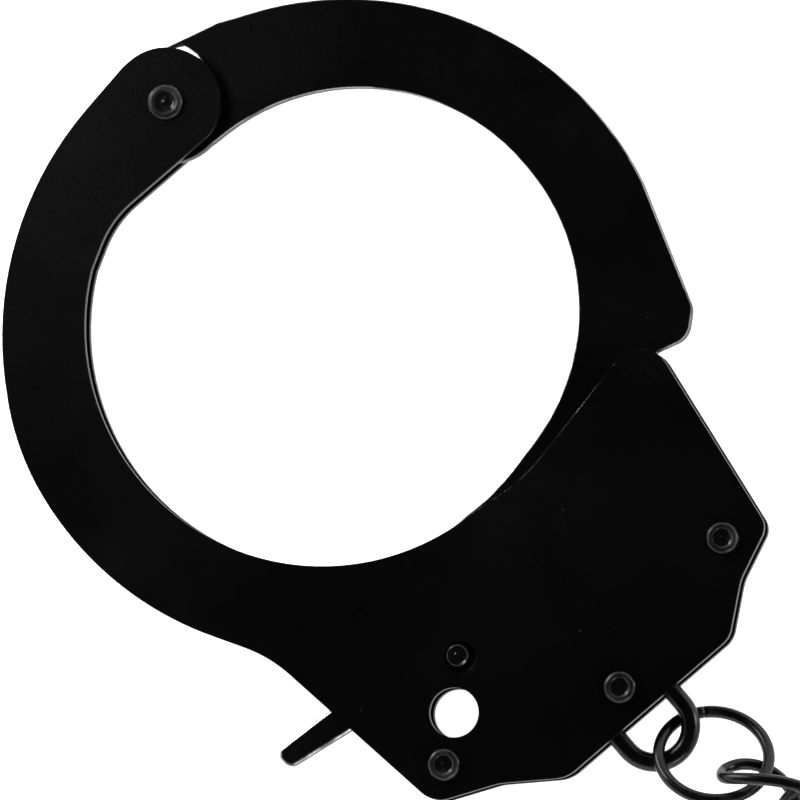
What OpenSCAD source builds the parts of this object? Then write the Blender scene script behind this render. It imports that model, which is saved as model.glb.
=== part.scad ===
// Pair of handcuffs: two ratchet cuffs joined by a short swivel chain.
// Millimetres. +X runs along the pair from the left cuff to the right cuff, +Z is up.
// The origin is under the middle of the chain, on the surface that the pair lies on.
// Each cuff is drawn about the centre of its wrist opening, with its chain end towards +X.

/* [Cheek plates] */
// Thickness of one cheek plate
plate_t = 1.5; // [1.3:0.1:1.7]
// Space between the two cheek plates
gap = 2.7; // [2.6:0.1:3]
// Radius of the wrist opening
wrist_r = 27.6; // [27:0.1:28]
// Outside radius of the cheek ring
ring_r = 39.5; // [39:0.1:40]
// Radius of the rounded cheek end around the pivot
pivot_end_r = 6.3; // [6:0.1:6.4]

/* [Rivets] */
// Height of a rivet head over its plate
head_h = 0.8; // [0.6:0.1:1]
// Radius of the pivot rivet's head
pivot_head_r = 2.1; // [1.9:0.1:2.4]
// Radius of the three lock rivets' heads
lock_head_r = 1.9; // [1.8:0.1:2.2]
// Radius of every rivet's shank
shank_r = 1.3; // [1.2:0.05:1.4]

/* [Bow] */
// Thickness of the single strand that swings
bow_t = 2.4; // [2.2:0.1:2.5]
// Outside radius of the bow
bow_r = 38.2; // [37.8:0.1:38.4]
// Height of one ratchet tooth
tooth_h = 1.1; // [0.9:0.1:1.1]

/* [Lock] */
// Thickness of the pawl and its release lever
pawl_t = 2.2; // [2:0.1:2.4]
// Angle that the stored pawl stands lifted off the teeth
pawl_lift = 4.4; // [4.3:0.1:4.8]
// Radius of the keyhole
keyhole_r = 2.85; // [2.7:0.05:3]

/* [Chain] */
// Wire radius of the oval swivel ring
swivel_wire_r = 1.1; // [1:0.05:1.15]
// Radius from the swivel ring's end centres to the middle of its wire
swivel_r = 4.1; // [4:0.05:4.2]
// Straight length of the swivel ring's sides
swivel_straight = 4.8; // [4.7:0.1:5]
// Wire radius of the round chain rings and of the twisted link
chain_wire_r = 0.69; // [0.65:0.01:0.7]
// Radius to the middle of a chain ring's wire
chain_ring_r = 6.28; // [6.2:0.02:6.4]
// Half the width of the twisted link, to the middle of its wire
link_half_w = 3.6; // [3.58:0.01:3.62]

/* [Hidden] */
$fn = 96;
black = [0.05, 0.05, 0.055];
steel = [0.3, 0.3, 0.32];

// Heights above the surface that the pair lies on
back_z = head_h;
gap_z = back_z + plate_t;
front_z = gap_z + gap;
mid_z = gap_z + gap / 2;
top_z = front_z + plate_t;

// Places in one cuff's own frame
cuff_at = [-74, -4.4];
pivot = [-31.35, 2.65];
nose = [48.4, 18.9];
chain_pin = [53.7, -1];
heel = [47.3, -22];
pawl_pin_at = [38.8, -12.8];
pin_window = [39.1, -12.65];
keyhole = [43.5, -17.3];
pin_window_r = 1.85;
ring_centre = [2.35, 1.17];
straight_x = -25.2;
bow_outer_centre = [1.95, 1.1];
bow_inner_centre = [0.65, 4.15];
bow_inner_r = 25.05;
bow_throat_centre = [1.33, 4.18];
bow_throat_r = 25.03;

// Ratchet teeth, on an arc about the pivot
tooth_tip_r = 63.9;
tooth_root_r = tooth_tip_r - tooth_h;
tooth_pitch = 1.6;
tooth_start = -11.8;
tooth_count = 16;
pawl_first_tooth = 8;
pawl_teeth = 4;
pawl_hub_r = 3.2;
mesh_gap = 0.12;
mesh_turn = 0.1;

// Fits
run_clear = 0.06;
spacer_r = 2.2;
spring_t = 0.4;
spring_w = 1.8;

// Chain, in the frame of the pair
swivel_end = [59.4, -1];
chain_ring_at = [-7.6, -2.4, mid_z + 0.79];
chain_ring_lean = -36;
chain_ring_lean_axis = 35.2;
link_route = [[-5.19, -3], [-3.39, 1.5], [2.51, 3], [6.24, 2.16]];
link_z = 5.95;
link_steps = 30;
link_sides = 8;

// ---- Helpers ----

function polar(r, a) = [r * cos(a), r * sin(a)];
function unit(v) = v / norm(v);

// Points of one rounded corner p, between the corners before and after it.
function corner(before, p, after, r, n = 8) =
    r == 0 ? [[p.x, p.y]] :
    let (
        at = [p.x, p.y],
        u = unit([before.x, before.y] - at),
        v = unit([after.x, after.y] - at),
        half = acos(u * v) / 2,
        start = at + u * r / tan(half),
        stop = at + v * r / tan(half),
        centre = at + unit(u + v) * r / sin(half),
        a0 = atan2((start - centre).y, (start - centre).x),
        turn = atan2((stop - centre).y, (stop - centre).x) - a0,
        sweep = turn > 180 ? turn - 360 : turn < -180 ? turn + 360 : turn
    )
    [for (i = [0:n]) centre + polar(r, a0 + sweep * i / n)];

// Points along an arc about c, from angle a0 to angle a1.
function arc(c, r, a0, a1, n) = [for (i = [0:n]) c + polar(r, a0 + (a1 - a0) * i / n)];

// A closed outline through [x, y, corner radius] points.
function rounded(points) =
    let (n = len(points))
    [for (i = [0:n - 1])
        each corner(points[(i + n - 1) % n], points[i], points[(i + 1) % n], points[i][2])];

// Puts a cuff's parts on the left of the chain, or on the right by half a turn.
module left() {
    translate([cuff_at.x, cuff_at.y, 0]) children();
}

module right() {
    rotate(180) left() children();
}

// ---- Cheek plates ----

// Outline of the lock housing, from the foot of the ring round to the wrist opening.
function foot_r(a) = a < -100 ? 37.74 - 0.0012 * pow(a + 100, 2) : 37.74;
lock_outline = rounded([
    for (a = [-118:2:-60]) [each polar(foot_r(a), a), 0],
    [24.9, -29.25, 16], [49.8, -25.8, 3.2],
    [53, -18.6, 6], [57.55, -12.3, 4], [57.55, 12.1, 3], [53.3, 17.4, 6],
    [50.65, 23.6, 2.2], [25.1, 27.45, 3.2], [25.2, 22.4, 8], [28.4, 6, 20],
    [27.4, -2.8, 0], [10, -20, 0]]);

module cheek_outline() {
    difference() {
        union() {
            intersection() {
                translate(ring_centre) circle(r = ring_r, $fn = 180);
                polygon([[-45, pivot.y], [-45, -45], [-18, -45], [-15, -33.5], [10, -25],
                    [10, 0], [0, pivot.y]]);
            }
            translate(pivot) circle(r = pivot_end_r);
            polygon([[pivot.x - pivot_end_r, pivot.y], [pivot.x - pivot_end_r, 1.6], [-36.67, -5],
                [-33, -5], [pivot.x, pivot.y]]);
            polygon(lock_outline);
        }
        intersection() {
            circle(r = wrist_r, $fn = 180);
            translate([-22.4, -45]) square([90, 90]);
        }
        polygon(rounded([[straight_x, 9, 0], [straight_x, -10.9, 12], [-22.4, -16.1, 0],
            [0, -10, 0], [0, 9, 0]]));
        for (p = [pivot, nose, chain_pin, heel]) translate(p) circle(r = shank_r);
        translate(keyhole) circle(r = keyhole_r);
    }
}

module front_cheek() {
    color(black) translate([0, 0, front_z]) difference() {
        linear_extrude(plate_t) cheek_outline();
        translate([pin_window.x, pin_window.y, -1]) cylinder(r = pin_window_r, h = plate_t + 2);
    }
}

module back_cheek() {
    color(black) translate([0, 0, back_z]) difference() {
        linear_extrude(plate_t) cheek_outline();
        translate([pawl_pin_at.x, pawl_pin_at.y, -1]) cylinder(r = shank_r, h = plate_t + 2);
    }
}

// ---- Rivets and spacers ----

// Button head with a raised rim, a shallow dish and a small pip, standing on z = 0.
module rivet_head(r) {
    rotate_extrude() polygon([[0, 0], [r, 0], [r, head_h * 0.45], [r * 0.93, head_h * 0.8],
        [r * 0.78, head_h], [r * 0.62, head_h * 0.92], [r * 0.45, head_h * 0.62],
        [r * 0.2, head_h * 0.55], [r * 0.16, head_h * 0.7], [0, head_h * 0.74]]);
}

module rivet(at, head_r) {
    color(black) translate([at.x, at.y, 0]) {
        translate([0, 0, top_z]) rivet_head(head_r);
        translate([0, 0, head_h]) mirror([0, 0, 1]) rivet_head(head_r);
        translate([0, 0, back_z]) cylinder(r = shank_r, h = top_z - back_z);
    }
}

// Tube around a lock rivet that holds the cheeks apart.
module spacer(at) {
    color(steel) translate([at.x, at.y, gap_z]) difference() {
        cylinder(r = spacer_r, h = gap);
        translate([0, 0, -1]) cylinder(r = shank_r + run_clear, h = gap + 2);
    }
}

// ---- Bow ----

// The bow's outline, from its rim over the point and the ratchet teeth, back along the
// inside to the eye on the pivot and the small horn beside it.
bow_points = concat(
    [[-35.73, 8.95], bow_outer_centre + polar(bow_r + 0.25, 162)],
    arc(bow_outer_centre, bow_r, 156, 76, 28),
    corner([11.2, 38.15], [25.9, 33.2], [28.2, 30.6], 2.5),
    corner([25.9, 33.2], [28.2, 30.6], [27.1, 26.6], 2.5),
    arc(pivot, tooth_tip_r - 0.6, 22.5, 13.8, 8),
    [for (i = [tooth_count - 1:-1:0]) each [
        pivot + polar(tooth_tip_r, tooth_start + (i + 1) * tooth_pitch),
        pivot + polar(tooth_root_r, tooth_start + i * tooth_pitch)]],
    [pivot + polar(tooth_root_r, -12.4), pivot + polar(tooth_tip_r - 3, -13.2)],
    [polar(wrist_r + 0.7, -23.5), polar(wrist_r + 0.15, -12)],
    arc([0, 0], wrist_r - 0.42, -4, 12, 8),
    arc(bow_throat_centre, bow_throat_r, 9, 90, 24),
    arc(bow_inner_centre, bow_inner_r, 93, 180, 24),
    arc(pivot, 6.9, 5, -40, 6),
    arc(pivot, 6, -70, -270, 16),
    [[-32.31, 8.78], [-33.46, 8.85], [-34.48, 8.6], [-35.3, 8.35], [-35.92, 7.26],
        [-36.55, 5.95]]);

module bow_outline() {
    difference() {
        polygon(bow_points);
        translate(pivot) circle(r = shank_r + run_clear);
    }
}

module bow() {
    color(black) translate([0, 0, mid_z - bow_t / 2]) linear_extrude(bow_t) bow_outline();
}

// ---- Pawl ----

// Points turned with the stored pawl's lift about its pin.
function lifted(points) =
    [for (p = points)
        let (d = p - pawl_pin_at)
        pawl_pin_at + polar(norm(d), atan2(d.y, d.x) - pawl_lift)];

// Saw teeth that mesh with the bow's, the back of the arm, the hub and the lever.
pawl_points = concat(
    lifted(concat(
        [for (i = [0:pawl_teeth - 1])
            let (a = tooth_start + (pawl_first_tooth + i) * tooth_pitch + mesh_turn)
            each [pivot + polar(tooth_root_r + mesh_gap, a),
                pivot + polar(tooth_tip_r + mesh_gap, a + tooth_pitch)]],
        [[36.2, 12.6], [37.9, 10.6], [38.9, 4], [40.6, -4]])),
    arc(pawl_pin_at, pawl_hub_r, 28, -55, 12),
    corner([40.6, -15.4], [37.2, -27.4], [35.9, -35.9], 4),
    corner([37.2, -27.4], [35.9, -35.9], [33.4, -36], 1.05),
    corner([35.9, -35.9], [33.4, -36], [33.85, -27.8], 1.05),
    corner([33.4, -36], [33.85, -27.8], [35.9, -14.1], 4),
    arc(pawl_pin_at, pawl_hub_r, 205, 150, 8),
    lifted([[34.6, -2], pivot + polar(tooth_tip_r + mesh_gap,
        tooth_start + pawl_first_tooth * tooth_pitch + mesh_turn)]));

module pawl_outline() {
    difference() {
        polygon(pawl_points);
        translate(pawl_pin_at) circle(r = shank_r + run_clear);
    }
}

module pawl() {
    color(black) translate([0, 0, mid_z - pawl_t / 2]) linear_extrude(pawl_t) pawl_outline();
}

// Plain pin that the pawl turns on, fixed in the back cheek and seen in the front cheek's window.
module pawl_pin() {
    color(black) translate([pawl_pin_at.x, pawl_pin_at.y, back_z])
        cylinder(r = shank_r, h = top_z - 0.3 - back_z);
}

// Flat spring, curled round the nose spacer, whose free end stands at the pawl's back.
module pawl_spring() {
    curl_r = spacer_r + run_clear;
    color(steel) translate([0, 0, mid_z - spring_w / 2]) linear_extrude(spring_w)
        polygon(concat([[40.65, 4.45], [40.25, 4.6]],
            arc(nose, curl_r + spring_t, 158, -145, 40), arc(nose, curl_r, -145, 158, 40)));
}

// ---- Chain ----

// Oval ring of round wire, from its end inside the lock to its end out in the chain.
module swivel_ring() {
    color(black) translate([swivel_end.x, swivel_end.y, mid_z]) {
        for (side = [0, 1])
            translate([-side * swivel_straight, 0, 0]) rotate(90 * (2 * side - 1))
                rotate_extrude(angle = 180) translate([swivel_r, 0])
                    circle(r = swivel_wire_r, $fn = 32);
        for (y = [-swivel_r, swivel_r])
            translate([-swivel_straight, y, 0]) rotate([0, 90, 0])
                cylinder(r = swivel_wire_r, h = swivel_straight, $fn = 32);
    }
}

// Round ring that leans on the swivel ring.
module chain_ring() {
    color(black) translate(chain_ring_at)
        rotate(a = chain_ring_lean, v = [cos(chain_ring_lean_axis), sin(chain_ring_lean_axis), 0])
            rotate_extrude() translate([chain_ring_r, 0]) circle(r = chain_wire_r, $fn = 32);
}

// The twisted link's middle line is a Bezier curve, and its two strands wind about it.
function route_at(s) =
    pow(1 - s, 3) * link_route[0] + 3 * s * pow(1 - s, 2) * link_route[1]
    + 3 * s * s * (1 - s) * link_route[2] + pow(s, 3) * link_route[3];
function route_way(s) = unit(route_at(s + 0.001) - route_at(s - 0.001));
function link_twist(s) = 69 + 78.5 * s * s;
function link_out(s) =
    let (d = route_way(s), a = link_twist(s)) [d.y * cos(a), -d.x * cos(a), sin(a)];

// Point on the loop at turn t of 0 to 360: over the top strand, then back along the lower one.
function loop_s(t) = (1 - cos(t)) / 2;
function loop_w(t) = link_half_w * (t > 180 ? -1 : 1) * pow(abs(sin(t)), 0.75);
function loop_at(t) =
    let (s = loop_s(t), p = route_at(s)) [p.x, p.y, link_z] + link_out(s) * loop_w(t);
function loop_way(t) = unit(loop_at(t + 0.5) - loop_at(t - 0.5));

function link_section(t) =
    let (
        way = loop_way(t),
        d = route_way(loop_s(t)),
        side = cross([d.x, d.y, 0], link_out(loop_s(t))),
        n = unit(side - way * (side * way)),
        m = cross(way, n)
    )
    [for (j = [0:link_sides - 1])
        let (a = 360 * j / link_sides)
        loop_at(t) + chain_wire_r * (n * cos(a) + m * sin(a))];

module twisted_link() {
    rings = 2 * link_steps;
    points = [for (i = [0:rings - 1]) each link_section(360 * (i + 0.5) / rings)];
    faces = [for (i = [0:rings - 1], j = [0:link_sides - 1])
        let (k = (i + 1) % rings, l = (j + 1) % link_sides)
        [i * link_sides + j, k * link_sides + j, k * link_sides + l, i * link_sides + l]];
    color(black) polyhedron(points, faces, convexity = 6);
}

// ---- Nodes ----

left() front_cheek();  // left_front_cheek
left() back_cheek();  // left_back_cheek
left() bow();  // left_bow
left() rivet(pivot, pivot_head_r);  // left_pivot_rivet
left() rivet(nose, lock_head_r);  // left_nose_rivet
left() rivet(chain_pin, lock_head_r);  // left_chain_rivet
left() rivet(heel, lock_head_r);  // left_heel_rivet
left() spacer(nose);  // left_nose_spacer
left() spacer(heel);  // left_heel_spacer
left() pawl();  // left_pawl
left() pawl_pin();  // left_pawl_pin
left() pawl_spring();  // left_pawl_spring
left() swivel_ring();  // left_swivel_ring
chain_ring();  // left_chain_ring
twisted_link();
rotate(180) chain_ring();  // right_chain_ring
right() swivel_ring();  // right_swivel_ring
right() front_cheek();  // right_front_cheek
right() back_cheek();  // right_back_cheek
right() bow();  // right_bow
right() rivet(pivot, pivot_head_r);  // right_pivot_rivet
right() rivet(nose, lock_head_r);  // right_nose_rivet
right() rivet(chain_pin, lock_head_r);  // right_chain_rivet
right() rivet(heel, lock_head_r);  // right_heel_rivet
right() spacer(nose);  // right_nose_spacer
right() spacer(heel);  // right_heel_spacer
right() pawl();  // right_pawl
right() pawl_pin();  // right_pawl_pin
right() pawl_spring();  // right_pawl_spring
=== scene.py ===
import logging
import math
from dataclasses import dataclass, field
from enum import Enum
from typing import Callable, Sequence

import bpy
from mathutils import Matrix, Vector


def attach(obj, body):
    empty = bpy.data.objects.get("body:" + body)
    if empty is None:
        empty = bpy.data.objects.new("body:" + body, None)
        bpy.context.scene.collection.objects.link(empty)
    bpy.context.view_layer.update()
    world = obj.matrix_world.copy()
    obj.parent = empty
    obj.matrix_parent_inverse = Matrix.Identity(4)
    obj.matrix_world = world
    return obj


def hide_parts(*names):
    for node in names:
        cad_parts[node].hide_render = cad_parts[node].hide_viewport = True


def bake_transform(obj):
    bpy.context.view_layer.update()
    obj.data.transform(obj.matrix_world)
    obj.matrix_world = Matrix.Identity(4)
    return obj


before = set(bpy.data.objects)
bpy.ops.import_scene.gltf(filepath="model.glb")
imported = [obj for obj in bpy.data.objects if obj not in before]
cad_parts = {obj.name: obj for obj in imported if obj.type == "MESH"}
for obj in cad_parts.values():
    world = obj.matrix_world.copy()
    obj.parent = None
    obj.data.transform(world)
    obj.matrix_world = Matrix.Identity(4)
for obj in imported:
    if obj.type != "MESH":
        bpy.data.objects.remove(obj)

log = logging.getLogger("handcuffs")
MM = 0.001
MERGE = 1e-7  # metres between corners that count as one
LEVEL = 0.9999  # least upright part of a flat face's normal
FACING = 0.9  # the same for the end faces of a cylinder
MIX_FIRST, MIX_SECOND, MIX_RESULT = 6, 7, 2  # colour sockets of the Mix node


class Side(Enum):
    """Which cuff of the pair a part belongs to, and how far it is turned about the chain."""

    LEFT = ("left", 0.0)
    RIGHT = ("right", math.pi)

    @property
    def word(self) -> str:
        """The side's name as the CAD nodes spell it."""
        return self.value[0]

    @property
    def turn(self) -> Matrix:
        """Turn from the left cuff's place to this one."""
        return Matrix.Rotation(self.value[1], 4, "Z")


# ---- Finishes ----


class Nodes:
    """Short hand for wiring one material's node tree."""

    def __init__(self, name: str) -> None:
        """Starts an empty material that holds a Principled shader.

        Args:
            name: The material's name.
        """
        self.material = bpy.data.materials.new(name)
        self.material.use_nodes = True
        self.tree = self.material.node_tree
        self.shader = self.tree.nodes["Principled BSDF"]
        self.place = self.add("ShaderNodeTexCoord").outputs["Object"]

    def add(self, kind: str, **settings: object) -> bpy.types.Node:
        """Adds a node.

        Args:
            kind: The node's Blender class name.
            **settings: Properties set on the node.

        Returns:
            The new node.
        """
        node = self.tree.nodes.new(kind)
        for key, value in settings.items():
            setattr(node, key, value)
        return node

    def wire(self, source: bpy.types.NodeSocket, target: bpy.types.NodeSocket) -> None:
        """Joins an output to an input."""
        self.tree.links.new(source, target)

    def mapped(self, turn: float, stretch: tuple[float, float, float]) -> bpy.types.NodeSocket:
        """Object coordinates, turned about Z and stretched.

        Args:
            turn: Angle about Z in radians.
            stretch: Scale along X, Y and Z.

        Returns:
            The Mapping node's vector.
        """
        node = self.add("ShaderNodeMapping")
        node.inputs["Rotation"].default_value = (0.0, 0.0, turn)
        node.inputs["Scale"].default_value = stretch
        self.wire(self.place, node.inputs["Vector"])
        return node.outputs["Vector"]

    def noise(
        self,
        scale: float,
        detail: float,
        roughness: float = 0.55,
        vector: bpy.types.NodeSocket | None = None,
    ) -> bpy.types.NodeSocket:
        """A noise texture's value.

        Args:
            scale: Cells per metre.
            detail: Octaves.
            roughness: Weight of the finer octaves.
            vector: Coordinates, or None for the plain Object ones.

        Returns:
            The noise value.
        """
        node = self.add("ShaderNodeTexNoise")
        node.inputs["Scale"].default_value = scale
        node.inputs["Detail"].default_value = detail
        node.inputs["Roughness"].default_value = roughness
        self.wire(vector or self.place, node.inputs["Vector"])
        return node.outputs["Fac"]

    def span(
        self, value: bpy.types.NodeSocket, low: float, high: float, out_low: float, out_high: float
    ) -> bpy.types.NodeSocket:
        """Maps a value from one range to another, clamped.

        Args:
            value: The value to map.
            low: Start of the range it comes from.
            high: End of that range.
            out_low: Result at low.
            out_high: Result at high.

        Returns:
            The mapped value.
        """
        node = self.add("ShaderNodeMapRange")
        for key, number in zip(
            ("From Min", "From Max", "To Min", "To Max"), (low, high, out_low, out_high)
        ):
            node.inputs[key].default_value = number
        self.wire(value, node.inputs["Value"])
        return node.outputs["Result"]

    def math(
        self, operation: str, a: bpy.types.NodeSocket, b: bpy.types.NodeSocket | float
    ) -> bpy.types.NodeSocket:
        """Joins two values with a Math node.

        Args:
            operation: The Math node's operation.
            a: First value.
            b: Second value, a socket or a number.

        Returns:
            The result.
        """
        node = self.add("ShaderNodeMath", operation=operation)
        self.wire(a, node.inputs[0])
        if isinstance(b, (int, float)):
            node.inputs[1].default_value = b
        else:
            self.wire(b, node.inputs[1])
        return node.outputs[0]

    def specks(self, scale: float, share: float, size: float) -> bpy.types.NodeSocket:
        """Sparse round specks, such as dust, 1 on a speck and 0 elsewhere.

        Args:
            scale: Cells per metre.
            share: Share of the cells that hold a speck.
            size: Speck radius as a share of a cell.

        Returns:
            The speck mask.
        """
        node = self.add("ShaderNodeTexVoronoi")
        node.inputs["Scale"].default_value = scale
        self.wire(self.place, node.inputs["Vector"])
        split = self.add("ShaderNodeSeparateColor")
        self.wire(node.outputs["Color"], split.inputs["Color"])
        chosen = self.span(split.outputs["Red"], share, share * 0.8, 0.0, 1.0)
        near = self.span(node.outputs["Distance"], size, size * 0.5, 0.0, 1.0)
        return self.math("MULTIPLY", chosen, near)

    def blend(
        self,
        factor: bpy.types.NodeSocket,
        first: tuple[float, float, float] | bpy.types.NodeSocket,
        second: tuple[float, float, float],
    ) -> bpy.types.NodeSocket:
        """Mixes two colours.

        Args:
            factor: 0 for the first colour and 1 for the second.
            first: First colour, three numbers or a socket.
            second: Second colour.

        Returns:
            The mixed colour.
        """
        node = self.add("ShaderNodeMix", data_type="RGBA")
        self.wire(factor, node.inputs["Factor"])
        if isinstance(first, tuple):
            node.inputs[MIX_FIRST].default_value = (*first, 1.0)
        else:
            self.wire(first, node.inputs[MIX_FIRST])
        node.inputs[MIX_SECOND].default_value = (*second, 1.0)
        return node.outputs[MIX_RESULT]

    def bump(self, height: bpy.types.NodeSocket, depth: float) -> None:
        """Roughens the shader's surface.

        Args:
            height: Height from 0 to 1.
            depth: Height of 1 in metres.
        """
        node = self.add("ShaderNodeBump")
        node.inputs["Strength"].default_value = 1.0
        node.inputs["Distance"].default_value = depth
        self.wire(height, node.inputs["Height"])
        self.wire(node.outputs["Normal"], self.shader.inputs["Normal"])


@dataclass(frozen=True)
class BlackCoat:
    """Baked black coat over steel, with grain, cloudiness, dust and hairline scratches."""

    name: str
    colour: tuple[float, float, float] = (0.0012, 0.0012, 0.0013)
    cloud: tuple[float, float, float] = (0.0028, 0.0028, 0.003)
    roughness: tuple[float, float] = (0.3, 0.42)
    specular: float = 0.07
    cloud_scale: float = 60.0
    grain_scale: float = 2600.0
    grain_depth: float = 0.000022
    dust: float = 0.035
    dust_scale: float = 850.0
    dust_size: float = 0.11
    dust_colour: tuple[float, float, float] = (0.12, 0.12, 0.12)
    scratches: float = 0.5
    scratch_colour: tuple[float, float, float] = (0.08, 0.08, 0.08)
    scratch_stretch: tuple[float, float, float] = (1.0, 40.0, 1.0)
    scratch_sets: tuple[tuple[float, float], ...] = ((0.5, 90.0), (1.75, 70.0), (2.6, 110.0))

    def material(self) -> bpy.types.Material:
        """Builds the coat.

        Returns:
            The material.
        """
        nodes = Nodes(self.name)
        shader = nodes.shader
        clouds = nodes.noise(self.cloud_scale, 3.0)
        grain = nodes.noise(self.grain_scale, 3.0, 0.6)
        base = nodes.blend(nodes.span(clouds, 0.35, 0.7, 0.0, 1.0), self.colour, self.cloud)
        dust = nodes.specks(self.dust_scale, self.dust, self.dust_size)
        tint = nodes.blend(nodes.math("MULTIPLY", dust, 0.35), base, self.dust_colour)
        scratch = self._scratch(nodes)
        worn = nodes.blend(
            nodes.math("MULTIPLY", scratch, self.scratches * 0.08), tint, self.scratch_colour
        )
        nodes.wire(worn, shader.inputs["Base Color"])
        unevenness = nodes.math(
            "ADD", nodes.math("MULTIPLY", grain, 0.6), nodes.math("MULTIPLY", clouds, 0.4)
        )
        rough = nodes.span(unevenness, 0.3, 0.7, *self.roughness)
        nodes.wire(
            nodes.math("SUBTRACT", rough, nodes.math("MULTIPLY", scratch, 0.04)),
            shader.inputs["Roughness"],
        )
        shader.inputs["Specular IOR Level"].default_value = self.specular
        height = nodes.math(
            "ADD", nodes.math("SUBTRACT", grain, nodes.math("MULTIPLY", scratch, 0.2)), dust
        )
        nodes.bump(height, self.grain_depth)
        return nodes.material

    def _scratch(self, nodes: Nodes) -> bpy.types.NodeSocket:
        """Patches of fine parallel scratches in several directions.

        Args:
            nodes: The coat's node tree.

        Returns:
            The scratch mask.
        """
        lines = []
        for turn, scale in self.scratch_sets:
            streak = nodes.noise(scale, 1.0, 0.5, nodes.mapped(turn, self.scratch_stretch))
            patch = nodes.span(nodes.noise(60.0 + 14.0 * turn, 1.0), 0.62, 0.7, 0.0, 1.0)
            lines.append(nodes.math("MULTIPLY", nodes.span(streak, 0.7, 0.73, 0.0, 1.0), patch))
        return nodes.math("MAXIMUM", nodes.math("MAXIMUM", lines[0], lines[1]), lines[2])


@dataclass(frozen=True)
class GlossEnamel:
    """Smooth gloss black enamel, as on wire, rivet heads and cut edges, with rubbed patches."""

    name: str
    colour: tuple[float, float, float] = (0.003, 0.003, 0.0032)
    rubbed: tuple[float, float, float] = (0.02, 0.02, 0.021)
    rub_from: float = 0.58
    roughness: tuple[float, float] = (0.14, 0.3)
    specular: float = 0.6
    ripple: float = 0.00003
    ripple_scale: float = 420.0
    metallic: float = 0.0

    def material(self) -> bpy.types.Material:
        """Builds the enamel.

        Returns:
            The material.
        """
        nodes = Nodes(self.name)
        shader = nodes.shader
        patches = nodes.noise(230.0, 4.0)
        fine = nodes.noise(self.ripple_scale, 4.0, 0.65)
        colour = nodes.blend(
            nodes.span(patches, self.rub_from, self.rub_from + 0.14, 0.0, 1.0),
            self.colour,
            self.rubbed,
        )
        nodes.wire(colour, shader.inputs["Base Color"])
        nodes.wire(nodes.span(fine, 0.35, 0.7, *self.roughness), shader.inputs["Roughness"])
        shader.inputs["Specular IOR Level"].default_value = self.specular
        shader.inputs["Metallic"].default_value = self.metallic
        nodes.bump(fine, self.ripple)
        return nodes.material


@dataclass(frozen=True)
class BareSteel:
    """Plain drawn or turned steel with fine lines along one direction."""

    name: str
    colour: tuple[float, float, float] = (0.42, 0.42, 0.44)
    shade: tuple[float, float, float] = (0.2, 0.19, 0.18)
    roughness: tuple[float, float] = (0.26, 0.45)
    stretch: tuple[float, float, float] = (1.0, 1.0, 20.0)

    def material(self) -> bpy.types.Material:
        """Builds the steel.

        Returns:
            The material.
        """
        nodes = Nodes(self.name)
        shader = nodes.shader
        lines = nodes.noise(900.0, 4.0, 0.6, nodes.mapped(0.0, self.stretch))
        stain = nodes.noise(300.0, 3.0)
        colour = nodes.blend(nodes.span(stain, 0.45, 0.75, 0.0, 1.0), self.colour, self.shade)
        nodes.wire(colour, shader.inputs["Base Color"])
        nodes.wire(nodes.span(lines, 0.3, 0.7, *self.roughness), shader.inputs["Roughness"])
        shader.inputs["Metallic"].default_value = 1.0
        nodes.bump(lines, 0.000006)
        return nodes.material


@dataclass(frozen=True)
class PaleTable:
    """Pale matt table top that glows a little, as if lit from below."""

    name: str = "pale_table"
    colour: tuple[float, float, float] = (0.93, 0.93, 0.93)
    mottle: tuple[float, float, float] = (0.95, 0.95, 0.95)
    glow: float = 1.0

    def material(self) -> bpy.types.Material:
        """Builds the table top.

        Returns:
            The material.
        """
        nodes = Nodes(self.name)
        shader = nodes.shader
        patches = nodes.span(nodes.noise(6.0, 2.0), 0.3, 0.7, 0.0, 1.0)
        nodes.wire(
            nodes.blend(patches, self.colour, self.mottle), shader.inputs["Base Color"]
        )
        shader.inputs["Roughness"].default_value = 0.8
        shader.inputs["Emission Color"].default_value = (1.0, 1.0, 1.0, 1.0)
        shader.inputs["Emission Strength"].default_value = self.glow
        return nodes.material


# ---- Making pieces ----


def deselect() -> None:
    """Leaves object mode with nothing selected."""
    if bpy.context.object and bpy.context.object.mode != "OBJECT":
        bpy.ops.object.mode_set(mode="OBJECT")
    bpy.ops.object.select_all(action="DESELECT")


def only(piece: bpy.types.Object) -> None:
    """Selects one object and makes it the active one."""
    deselect()
    piece.select_set(True)
    bpy.context.view_layer.objects.active = piece


def in_edit_mode(piece: bpy.types.Object, *steps: Callable[[], object]) -> None:
    """Runs edit mode steps on all of one piece's mesh.

    Args:
        piece: The piece to edit.
        *steps: Calls made in turn, with everything selected before the first.
    """
    only(piece)
    bpy.ops.object.mode_set(mode="EDIT")
    bpy.ops.mesh.select_all(action="SELECT")
    for step in steps:
        step()
    bpy.ops.object.mode_set(mode="OBJECT")


def pick_faces(
    piece: bpy.types.Object, wanted: Callable[[bpy.types.MeshPolygon], bool]
) -> None:
    """Selects the faces that a test picks, ready for edit mode.

    Args:
        piece: The piece.
        wanted: True for a face to select.
    """
    only(piece)
    bpy.ops.object.mode_set(mode="EDIT")
    bpy.ops.mesh.select_mode(type="FACE")
    bpy.ops.mesh.select_all(action="DESELECT")
    bpy.ops.object.mode_set(mode="OBJECT")
    for face in piece.data.polygons:
        face.select = wanted(face)


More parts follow.
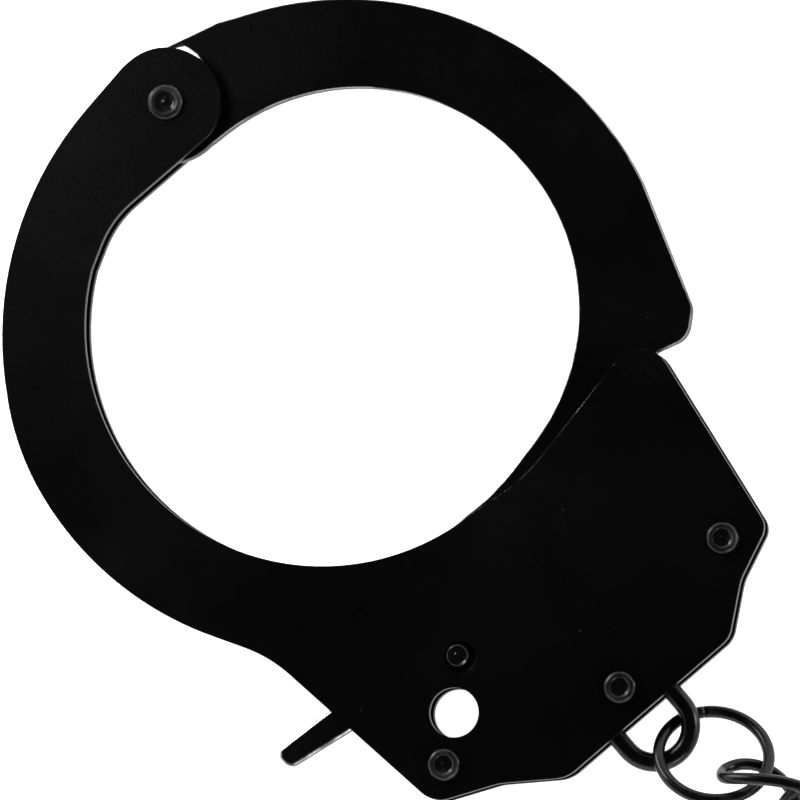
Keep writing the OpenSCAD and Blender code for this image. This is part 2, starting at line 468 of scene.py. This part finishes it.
def inset_steps(
    piece: bpy.types.Object, steps: Sequence[tuple[float, float]], across: float, up: float
) -> None:
    """Insets the picked faces step by step, raising or lowering them each time.

    Args:
        piece: The piece.
        steps: Inward and upward share of each step.
        across: Length that an inward share of 1 stands for, in metres.
        up: Height that an upward share of 1 stands for, in metres.
    """
    only(piece)
    bpy.ops.object.mode_set(mode="EDIT")
    for inward, upward in steps:
        bpy.ops.mesh.inset(thickness=inward * across, depth=0.0)
        bpy.ops.transform.translate(value=(0, 0, upward * up))
    bpy.ops.object.mode_set(mode="OBJECT")


def settle(piece: bpy.types.Object) -> None:
    """Moves an object's place into its mesh, so that it sits at the origin."""
    only(piece)
    bpy.ops.object.transform_apply(location=True, rotation=True, scale=True)


def put_on(piece: bpy.types.Object, *materials: bpy.types.Material) -> None:
    """Gives a piece its materials, in slot order."""
    piece.data.materials.clear()
    for material in materials:
        piece.data.materials.append(material)


def round_edges(
    piece: bpy.types.Object, width: float, segments: int, edge_slot: int, angle: float = 35.0
) -> None:
    """Bevels a piece's sharp edges and shades it.

    Args:
        piece: The piece.
        width: Bevel width in metres.
        segments: Bevel segments.
        edge_slot: Material slot of the bevelled faces.
        angle: Edges sharper than this, in degrees, are rounded.
    """
    only(piece)
    bevel = piece.modifiers.new("edge_round", "BEVEL")
    bevel.width = width
    bevel.segments = segments
    bevel.limit_method = "ANGLE"
    bevel.angle_limit = math.radians(angle)
    bevel.material = edge_slot
    bevel.use_clamp_overlap = True
    bpy.ops.object.modifier_apply(modifier=bevel.name)
    bpy.ops.object.shade_smooth_by_angle(angle=math.radians(30))
    for face in piece.data.polygons:
        if abs(face.normal.z) > LEVEL:
            face.use_smooth = False


def from_node(node: str, name: str) -> bpy.types.Object:
    """Copies a CAD node's mesh into a new piece, with its triangles merged into clean faces.

    Args:
        node: The CAD node's name.
        name: The new piece's name.

    Returns:
        The new piece.
    """
    piece = bpy.data.objects.new(name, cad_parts[node].data.copy())
    bpy.context.scene.collection.objects.link(piece)
    in_edit_mode(
        piece,
        lambda: bpy.ops.mesh.remove_doubles(threshold=MERGE),
        lambda: bpy.ops.mesh.customdata_custom_splitnormals_clear(),
        lambda: bpy.ops.mesh.dissolve_limited(angle_limit=math.radians(0.5)),
    )
    return piece


def copied(source: bpy.types.Object, name: str, place: Matrix) -> bpy.types.Object:
    """Copies a piece with its own mesh and moves the copy's mesh.

    Args:
        source: The piece to copy.
        name: The copy's name.
        place: Where the copy's mesh goes, from where the source's is.

    Returns:
        The copy.
    """
    piece = source.copy()
    piece.data = source.data.copy()
    piece.name = name
    bpy.context.scene.collection.objects.link(piece)
    piece.matrix_world = place
    settle(piece)
    return piece


def wire_loop(name: str, points: Sequence[Vector], radius: float) -> bpy.types.Object:
    """A closed loop of round wire.

    Args:
        name: The piece's name.
        points: The wire's middle line, in metres.
        radius: The wire's radius.

    Returns:
        The loop as a mesh.
    """
    curve = bpy.data.curves.new(name, "CURVE")
    curve.dimensions = "3D"
    spline = curve.splines.new("POLY")
    spline.points.add(len(points) - 1)
    for knot, point in zip(spline.points, points):
        knot.co = (*point, 1.0)
    spline.use_cyclic_u = True
    curve.bevel_depth = radius
    curve.bevel_resolution = 6
    curve.twist_mode = "MINIMUM"
    piece = bpy.data.objects.new(name, curve)
    bpy.context.scene.collection.objects.link(piece)
    only(piece)
    bpy.ops.object.convert(target="MESH")
    piece = bpy.context.view_layer.objects.active
    in_edit_mode(
        piece,
        lambda: bpy.ops.mesh.remove_doubles(threshold=MERGE),
        lambda: bpy.ops.mesh.normals_make_consistent(inside=False),
    )
    only(piece)
    bpy.ops.object.shade_smooth()
    return piece


def stand_for(piece: bpy.types.Object, node: str, body: str) -> None:
    """Puts a finished piece in a CAD node's place.

    Args:
        piece: The piece.
        node: The CAD node that it stands for.
        body: The body that it rides on.
    """
    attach(piece, body)
    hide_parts(node)
    log.info("%s: %d faces, rides on %s", piece.name, len(piece.data.polygons), body)


# ---- The pair ----


@dataclass
class Finishes:
    """Every material of the pair, built once."""

    plate: bpy.types.Material = field(
        default_factory=lambda: BlackCoat("black_plate_coat").material()
    )
    bow: bpy.types.Material = field(
        default_factory=lambda: BlackCoat("black_bow_coat", scratches=0.9).material()
    )
    pawl: bpy.types.Material = field(
        default_factory=lambda: BlackCoat(
            "black_pawl_coat", roughness=(0.3, 0.46), specular=0.12, dust=0.02
        ).material()
    )
    edge: bpy.types.Material = field(
        default_factory=lambda: GlossEnamel(
            "worn_edge",
            colour=(0.1, 0.1, 0.105),
            rubbed=(0.5, 0.5, 0.5),
            rub_from=0.42,
            roughness=(0.22, 0.4),
            metallic=0.8,
        ).material()
    )
    rivet: bpy.types.Material = field(
        default_factory=lambda: GlossEnamel(
            "black_rivet_enamel", rubbed=(0.02, 0.02, 0.021), rub_from=0.55, specular=0.3
        ).material()
    )
    rim: bpy.types.Material = field(
        default_factory=lambda: GlossEnamel(
            "worn_rivet_rim",
            colour=(0.005, 0.005, 0.0055),
            rubbed=(0.03, 0.03, 0.031),
            rub_from=0.5,
            roughness=(0.28, 0.45),
            specular=0.3,
        ).material()
    )
    wire: bpy.types.Material = field(
        default_factory=lambda: GlossEnamel(
            "black_wire_enamel",
            specular=0.24,
            roughness=(0.2, 0.34),
            ripple=0.00002,
            ripple_scale=300.0,
        ).material()
    )
    turned: bpy.types.Material = field(
        default_factory=lambda: BareSteel("turned_spacer_steel").material()
    )
    spring: bpy.types.Material = field(
        default_factory=lambda: BareSteel(
            "blue_grey_spring_steel", colour=(0.3, 0.31, 0.34), roughness=(0.2, 0.34)
        ).material()
    )


@dataclass
class RivetHead:
    """Peened button head: a raised rim round a shallow dish with a pip in its middle."""

    radius: float
    height: float = 0.8 * MM
    shank: float = 1.3 * MM
    worn_rim: tuple[float, float] = (0.6, 0.94)
    dish: tuple[tuple[float, float], ...] = (
        (0.03, 0.16), (0.05, 0.16), (0.07, 0.13), (0.08, 0.08), (0.07, 0.02), (0.06, -0.04),
        (0.06, -0.09), (0.06, -0.1), (0.07, -0.06), (0.15, -0.04), (0.14, -0.01), (0.06, 0.05),
        (0.05, 0.04),
    )

    def build(
        self, name: str, under: float, coat: bpy.types.Material, rim: bpy.types.Material
    ) -> bpy.types.Object:
        """Models one head that stands on z = 0 and looks up.

        Args:
            name: The piece's name.
            under: Length of the shank drawn below z = 0.
            coat: Finish of the whole head but its rim.
            rim: Finish of the raised rim.

        Returns:
            The head.
        """
        deselect()
        blank = self.height * 0.42
        bpy.ops.mesh.primitive_cylinder_add(
            vertices=72, radius=self.radius, depth=blank, location=(0, 0, blank / 2)
        )
        piece = bpy.context.object
        piece.name = name
        settle(piece)
        put_on(piece, coat, rim)
        pick_faces(piece, lambda face: face.normal.z > FACING)
        inset_steps(piece, self.dish, self.radius, self.height)
        self._shank(piece, under)
        inner, outer = self.worn_rim
        for face in piece.data.polygons:
            reach = math.hypot(face.center.x, face.center.y) / self.radius
            face.material_index = int(inner < reach < outer and self._above(face.center.z))
        self._peen(piece)
        only(piece)
        bpy.ops.object.shade_smooth_by_angle(angle=math.radians(40))
        return piece

    def _above(self, z: float) -> bool:
        """True for a height on the head's upper part."""
        return z > self.height * 0.3

    def _shank(self, piece: bpy.types.Object, under: float) -> None:
        """Draws the shank down from the head's underside.

        Args:
            piece: The head.
            under: The shank's length.
        """
        pick_faces(piece, lambda face: face.normal.z < -FACING)
        only(piece)
        bpy.ops.object.mode_set(mode="EDIT")
        bpy.ops.mesh.inset(thickness=self.radius - self.shank, depth=0.0)
        bpy.ops.mesh.extrude_region_move(TRANSFORM_OT_translate={"value": (0, 0, -under)})
        bpy.ops.object.mode_set(mode="OBJECT")

    def _peen(self, piece: bpy.types.Object) -> None:
        """Leaves the slight unevenness of a hammered head.

        Args:
            piece: The head.
        """
        for vertex in piece.data.vertices:
            x, y, z = vertex.co
            if self._above(z):
                angle = math.atan2(y, x)
                reach = math.hypot(x, y) / self.radius
                wave = 0.5 * math.sin(3 * angle + 0.7) + 0.3 * math.sin(5 * angle + 2.1)
                vertex.co.z -= self.height * 0.05 * (0.8 + wave) * reach
                shrink = 1.0 - 0.012 * (0.8 + math.sin(7 * angle + 1.0)) * reach
                vertex.co.x *= shrink
                vertex.co.y *= shrink


@dataclass
class Cuff:
    """One cuff: two cheek plates, bow, pawl, rivets, pin, spacers and spring."""

    side: Side
    finishes: Finishes
    top: float = 6.5 * MM
    bottom: float = 0.8 * MM
    at: tuple[float, float] = (-74.0, -4.4)
    pivot: tuple[float, float] = (-31.35, 2.65)
    lock_rivets: dict[str, tuple[float, float]] = field(
        default_factory=lambda: {
            "nose": (48.4, 18.9),
            "chain": (53.7, -1.0),
            "heel": (47.3, -22.0),
        }
    )
    head_radii: tuple[float, float] = (2.1, 1.9)
    pin: tuple[float, float] = (38.8, -12.8)
    pin_top: float = 6.35 * MM
    pin_radius: float = 1.3 * MM
    pin_dish: tuple[tuple[float, float], ...] = (
        (0.1, 0.0), (0.12, -0.1), (0.25, -0.06), (0.4, 0.0), (0.14, 0.05)
    )
    plate_edge: float = 0.16 * MM
    bow_edge: float = 0.2 * MM
    pawl_edge: float = 0.3 * MM
    pin_edge: float = 0.05 * MM
    spring_root: tuple[float, float] = (45.9, 19.2)
    spring_tip: tuple[float, float] = (40.4, 4.5)
    spring_lengths: int = 14

    def node(self, part: str) -> str:
        """The CAD node's name for a part of this cuff."""
        return f"{self.side.word}_{part}"

    def place(self, at: tuple[float, float]) -> Matrix:
        """Where a point of the cuff's own frame is in the pair.

        Args:
            at: X and Y from the middle of the wrist opening, in millimetres.

        Returns:
            The move from the origin to that point.
        """
        spot = ((self.at[0] + at[0]) * MM, (self.at[1] + at[1]) * MM, 0.0)
        return self.side.turn @ Matrix.Translation(spot)

    def build(self) -> None:
        """Makes every piece of the cuff."""
        self.cheeks()
        self.bow()
        self.pawl()
        self.rivets()
        self.pawl_pin()
        self.spacers()
        self.spring()

    def cheeks(self) -> None:
        """Front and back cheek plates with their rounded, shinier cut edges."""
        for part in ("front_cheek", "back_cheek"):
            piece = from_node(self.node(part), f"{self.node(part)}_plate")
            put_on(piece, self.finishes.plate, self.finishes.edge)
            round_edges(piece, self.plate_edge, 2, 1)
            stand_for(piece, self.node(part), f"{self.side.word}_cuff")

    def bow(self) -> None:
        """Swinging bow with its ratchet teeth."""
        piece = from_node(self.node("bow"), self.node("bow_strand"))
        put_on(piece, self.finishes.bow, self.finishes.edge)
        round_edges(piece, self.bow_edge, 2, 1, 40.0)
        stand_for(piece, self.node("bow"), f"{self.side.word}_bow_body")

    def pawl(self) -> None:
        """Pawl and its release lever."""
        piece = from_node(self.node("pawl"), self.node("pawl_lever"))
        put_on(piece, self.finishes.pawl, self.finishes.edge)
        round_edges(piece, self.pawl_edge, 3, 1, 40.0)
        stand_for(piece, self.node("pawl"), f"{self.side.word}_pawl_body")

    def rivets(self) -> None:
        """The pivot rivet and the three lock rivets, each with a head on both sides."""
        half = (self.top - self.bottom) / 2
        groups = ({"pivot": self.pivot}, self.lock_rivets)
        for radius, spots in zip(self.head_radii, groups):
            head = RivetHead(radius * MM).build(
                "rivet_pattern", half, self.finishes.rivet, self.finishes.rim
            )
            up = Matrix.Translation((0, 0, self.top))
            down = Matrix.Translation((0, 0, self.bottom)) @ Matrix.Rotation(math.pi, 4, "X")
            for turn, (name, at) in enumerate(spots.items()):
                spin = Matrix.Rotation(1.9 * turn + 0.4, 4, "Z")
                front = copied(head, self.node(f"{name}_rivet_front"), self.place(at) @ up @ spin)
                back = copied(head, self.node(f"{name}_rivet_back"), self.place(at) @ down @ spin)
                only(front)
                back.select_set(True)
                bpy.ops.object.join()
                in_edit_mode(front, lambda: bpy.ops.mesh.remove_doubles(threshold=2e-6))
                front.name = self.node(f"{name}_rivet_peened")
                stand_for(
                    front, self.node(f"{name}_rivet"), f"{self.side.word}_cuff"
                )
            bpy.data.objects.remove(head)

    def pawl_pin(self) -> None:
        """Pawl pin with a rounded, dished end in the front cheek's window."""
        deselect()
        low, high = self.bottom, self.pin_top
        bpy.ops.mesh.primitive_cylinder_add(
            vertices=64,
            radius=self.pin_radius,
            depth=high - low,
            location=(0, 0, (high + low) / 2),
        )
        piece = bpy.context.object
        piece.name = self.node("pawl_pin_dished")
        settle(piece)
        pick_faces(piece, lambda face: face.normal.z > FACING)
        inset_steps(piece, self.pin_dish, MM, MM)
        put_on(piece, self.finishes.rivet, self.finishes.rim)
        round_edges(piece, self.pin_edge, 2, 1, 50.0)
        piece.matrix_world = self.place(self.pin)
        settle(piece)
        stand_for(piece, self.node("pawl_pin"), f"{self.side.word}_cuff")

    def spacers(self) -> None:
        """Spacers inside the lock keep their CAD shape and get a turned finish."""
        for part in ("nose_spacer", "heel_spacer"):
            put_on(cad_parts[self.node(part)], self.finishes.turned)
            log.info("%s: CAD shape, turned steel", self.node(part))

    def spring(self) -> None:
        """Pawl spring, cut across into short lengths and finished in spring steel; the piece rides
        on no body.
        """
        piece = from_node(self.node("pawl_spring"), self.node("pawl_spring_strip"))
        first = self.place(self.spring_root).translation
        tip = self.place(self.spring_tip).translation
        way = (tip - first).normalized()

        def cut(share: float) -> Callable[[], object]:
            """A cut across the strip at a share of its length."""
            at = first.lerp(tip, share)
            return lambda: (
                bpy.ops.mesh.select_all(action="SELECT"),
                bpy.ops.mesh.bisect(plane_co=at, plane_no=way),
            )

        count = self.spring_lengths
        in_edit_mode(piece, *(cut(i / count) for i in range(1, count)))
        put_on(piece, self.finishes.spring)
        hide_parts(self.node("pawl_spring"))
        log.info("%s: %d faces, bends", piece.name, len(piece.data.polygons))
        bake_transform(piece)


@dataclass
class Chain:
    """Swivel rings, round rings and the twisted link between the cuffs."""

    finishes: Finishes
    middle: float = 3.65
    swivel_end: tuple[float, float] = (-14.6, -5.4)
    swivel_radius: float = 4.1
    swivel_straight: float = 4.8
    swivel_wire: float = 1.1
    ring_at: tuple[float, float, float] = (-7.6, -2.4, 4.44)
    ring_radius: float = 6.28
    ring_wire: float = 0.69
    ring_steps: int = 160
    ring_lean: float = -36.0
    ring_lean_axis: float = 35.2
    seam_angle: float = 150.0
    seam_pinch: float = 0.86
    seam_pull: float = 0.72
    route: tuple[tuple[float, float], ...] = (
        (-5.19, -3.0), (-3.39, 1.5), (2.51, 3.0), (6.24, 2.16)
    )
    link_z: float = 5.95
    link_half_width: float = 3.6
    link_twist: tuple[float, float] = (69.0, 78.5)
    link_fullness: float = 0.75
    link_steps: int = 120

    def build(self) -> None:
        """Makes the five links."""
        self.swivel_rings()
        self.round_rings()
        self.twisted_link()

    def swivel_rings(self) -> None:
        """Oval rings of thick wire that swivel on the chain rivets."""
        r, length, (x, y) = self.swivel_radius, self.swivel_straight, self.swivel_end
        turns = [math.radians(-90 + 180 * i / 40) for i in range(41)]
        ways = [length * i / 8 for i in range(1, 8)]
        flat = [(x + r * math.cos(a), y + r * math.sin(a)) for a in turns]
        flat += [(x - way, y + r) for way in ways]
        flat += [(x - length - r * math.cos(a), y - r * math.sin(a)) for a in turns]
        flat += [(x - length + way, y - r) for way in ways]
        line = [Vector((*at, self.middle)) * MM for at in flat]
        pattern = wire_loop("swivel_pattern", line, self.swivel_wire * MM)
        put_on(pattern, self.finishes.wire)
        for side in Side:
            piece = copied(pattern, f"{side.word}_swivel_oval", side.turn)
            stand_for(
                piece, f"{side.word}_swivel_ring", f"{side.word}_swivel_body"
            )
        bpy.data.objects.remove(pattern)

    def round_rings(self) -> None:
        """Round rings of thin wire, each with a butt seam."""
        axis = math.radians(self.ring_lean_axis)
        lean = Matrix.Rotation(
            math.radians(self.ring_lean), 4, Vector((math.cos(axis), math.sin(axis), 0.0))
        )
        deselect()
        bpy.ops.mesh.primitive_torus_add(
            major_segments=self.ring_steps,
            minor_segments=28,
            major_radius=self.ring_radius * MM,
            minor_radius=self.ring_wire * MM,
        )
        pattern = bpy.context.object
        settle(pattern)
        self._seam(pattern)
        only(pattern)
        bpy.ops.object.shade_smooth()
        put_on(pattern, self.finishes.wire)
        place = Matrix.Translation(Vector(self.ring_at) * MM) @ lean
        for side in Side:
            piece = copied(pattern, f"{side.word}_round_ring", side.turn @ place)
            stand_for(
                piece, f"{side.word}_chain_ring", f"{side.word}_chain_ring_body"
            )
        bpy.data.objects.remove(pattern)

    def _seam(self, ring: bpy.types.Object) -> None:
        """Pinches the wire where its two ends butt together.

        Args:
            ring: A torus about the origin, flat on XY.
        """
        step = 2 * math.pi / self.ring_steps
        seam = round(math.radians(self.seam_angle) / step)
        for vertex in ring.data.vertices:
            angle = math.atan2(vertex.co.y, vertex.co.x) % (2 * math.pi)
            index = round(angle / step)
            middle = Vector((math.cos(angle), math.sin(angle), 0.0)) * self.ring_radius * MM
            if index == seam:
                vertex.co = middle + (vertex.co - middle) * self.seam_pinch
            elif abs(index - seam) == 1:
                nudge = Matrix.Rotation((seam - index) * step * self.seam_pull, 3, "Z")
                vertex.co = nudge @ vertex.co

    def _route(self, s: float) -> Vector:
        """Point of the link's middle line at s of 0 to 1."""
        p = [Vector(q) for q in self.route]
        return (
            (1 - s) ** 3 * p[0]
            + 3 * s * (1 - s) ** 2 * p[1]
            + 3 * s * s * (1 - s) * p[2]
            + s**3 * p[3]
        )

    def _loop(self, t: float) -> Vector:
        """Point of the link's wire at turn t.

        Args:
            t: Angle round the loop in radians.

        Returns:
            The wire's middle, in metres.
        """
        s = (1 - math.cos(t)) / 2
        way = (self._route(s + 0.001) - self._route(s - 0.001)).normalized()
        twist = math.radians(self.link_twist[0] + self.link_twist[1] * s * s)
        out = Vector((way.y * math.cos(twist), -way.x * math.cos(twist), math.sin(twist)))
        sign = -1.0 if t > math.pi else 1.0
        width = self.link_half_width * sign * abs(math.sin(t)) ** self.link_fullness
        at = self._route(s)
        return (Vector((at.x, at.y, self.link_z)) + out * width) * MM

    def twisted_link(self) -> None:
        """The long link, whose two strands wind about each other."""
        step = 2 * math.pi / self.link_steps
        line = [self._loop(step * (i + 0.5)) for i in range(self.link_steps)]
        piece = wire_loop("twisted_wire_link", line, self.ring_wire * MM)
        put_on(piece, self.finishes.wire)
        stand_for(piece, "twisted_link", "twisted_link_body")


@dataclass
class Studio:
    """Floor, lights and camera."""

    target: tuple[float, float, float] = (-61.7, -3.33, 6.5)
    view_width: float = 91.18
    up: tuple[float, float, float] = (-0.7627, 0.6468, 0.0)
    toward: tuple[float, float] = (0.919, 0.393)
    tilt: float = 8.0
    distance: float = 2000.0
    sensor: float = 36.0
    clip: tuple[float, float] = (0.01, 20.0)
    air_colour: tuple[float, float, float, float] = (0.8, 0.8, 0.8, 1.0)
    air_strength: float = 0.03
    floor_radius: float = 9500.0
    wall_height: float = 4430.0
    lights: tuple[tuple[str, tuple[float, float, float], float, float], ...] = (
        ("soft_left", (-190.0, -40.0, 120.0), 60.0, 0.17),
        ("soft_right", (320.0, -60.0, 160.0), 120.0, 0.35),
        ("low_left", (-380.0, -70.0, 90.0), 90.0, 0.35),
        ("low_right", (150.0, 320.0, 90.0), 90.0, 0.35),
    )

    def build(self) -> None:
        """Makes the whole studio."""
        self.floor()
        self.lamps()
        self.camera()
        world = bpy.data.worlds.new("studio_air")
        world.use_nodes = True
        air = world.node_tree.nodes["Background"]
        air.inputs["Color"].default_value = self.air_colour
        air.inputs["Strength"].default_value = self.air_strength
        bpy.context.scene.world = world
        bpy.context.scene.view_settings.view_transform = "Standard"

    def floor(self) -> None:
        """Adds the pale round table top that the pair lies on, with a low wall at its rim."""
        deselect()
        bpy.ops.mesh.primitive_circle_add(
            vertices=96, radius=self.floor_radius * MM, fill_type="NGON"
        )
        table = bpy.context.object
        table.name = "table_top"
        in_edit_mode(
            table,
            lambda: bpy.ops.mesh.select_mode(type="EDGE"),
            lambda: bpy.ops.mesh.region_to_loop(),
            lambda: bpy.ops.mesh.extrude_region_move(
                TRANSFORM_OT_translate={"value": (0, 0, self.wall_height * MM)}
            ),
        )
        put_on(table, PaleTable().material())

    def lamps(self) -> None:
        """Adds the soft area lights, each aimed at the middle of the pair."""
        for name, at, size, power in self.lights:
            data = bpy.data.lights.new(name, "AREA")
            data.shape = "SQUARE"
            data.size = size * MM
            data.energy = power
            lamp = bpy.data.objects.new(name, data)
            lamp.location = Vector(at) * MM
            lamp.rotation_euler = (-lamp.location).to_track_quat("-Z", "Y").to_euler()
            bpy.context.scene.collection.objects.link(lamp)

    def camera(self) -> None:
        """Adds the camera over the left cuff, leaning towards the chain."""
        lean = math.radians(self.tilt)
        back = Vector(
            (self.toward[0] * math.sin(lean), self.toward[1] * math.sin(lean), math.cos(lean))
        ).normalized()
        right = Vector(self.up).cross(back).normalized()
        up = back.cross(right)
        data = bpy.data.cameras.new("camera")
        data.sensor_width = self.sensor
        data.lens = self.sensor * self.distance / self.view_width
        data.clip_start, data.clip_end = self.clip
        camera = bpy.data.objects.new("camera", data)
        place = Vector(self.target) * MM + back * self.distance * MM
        turn = Matrix((right, up, back)).transposed().to_4x4()
        camera.matrix_world = Matrix.Translation(place) @ turn
        bpy.context.scene.collection.objects.link(camera)
        bpy.context.scene.camera = camera


def main() -> None:
    """Builds the pair and its studio."""
    logging.basicConfig(level=logging.INFO, format="%(name)s: %(message)s")
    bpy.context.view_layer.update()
    finishes = Finishes()
    Studio().build()
    for side in Side:
        Cuff(side, finishes).build()
    Chain(finishes).build()


if __name__ == "__main__":
    main()
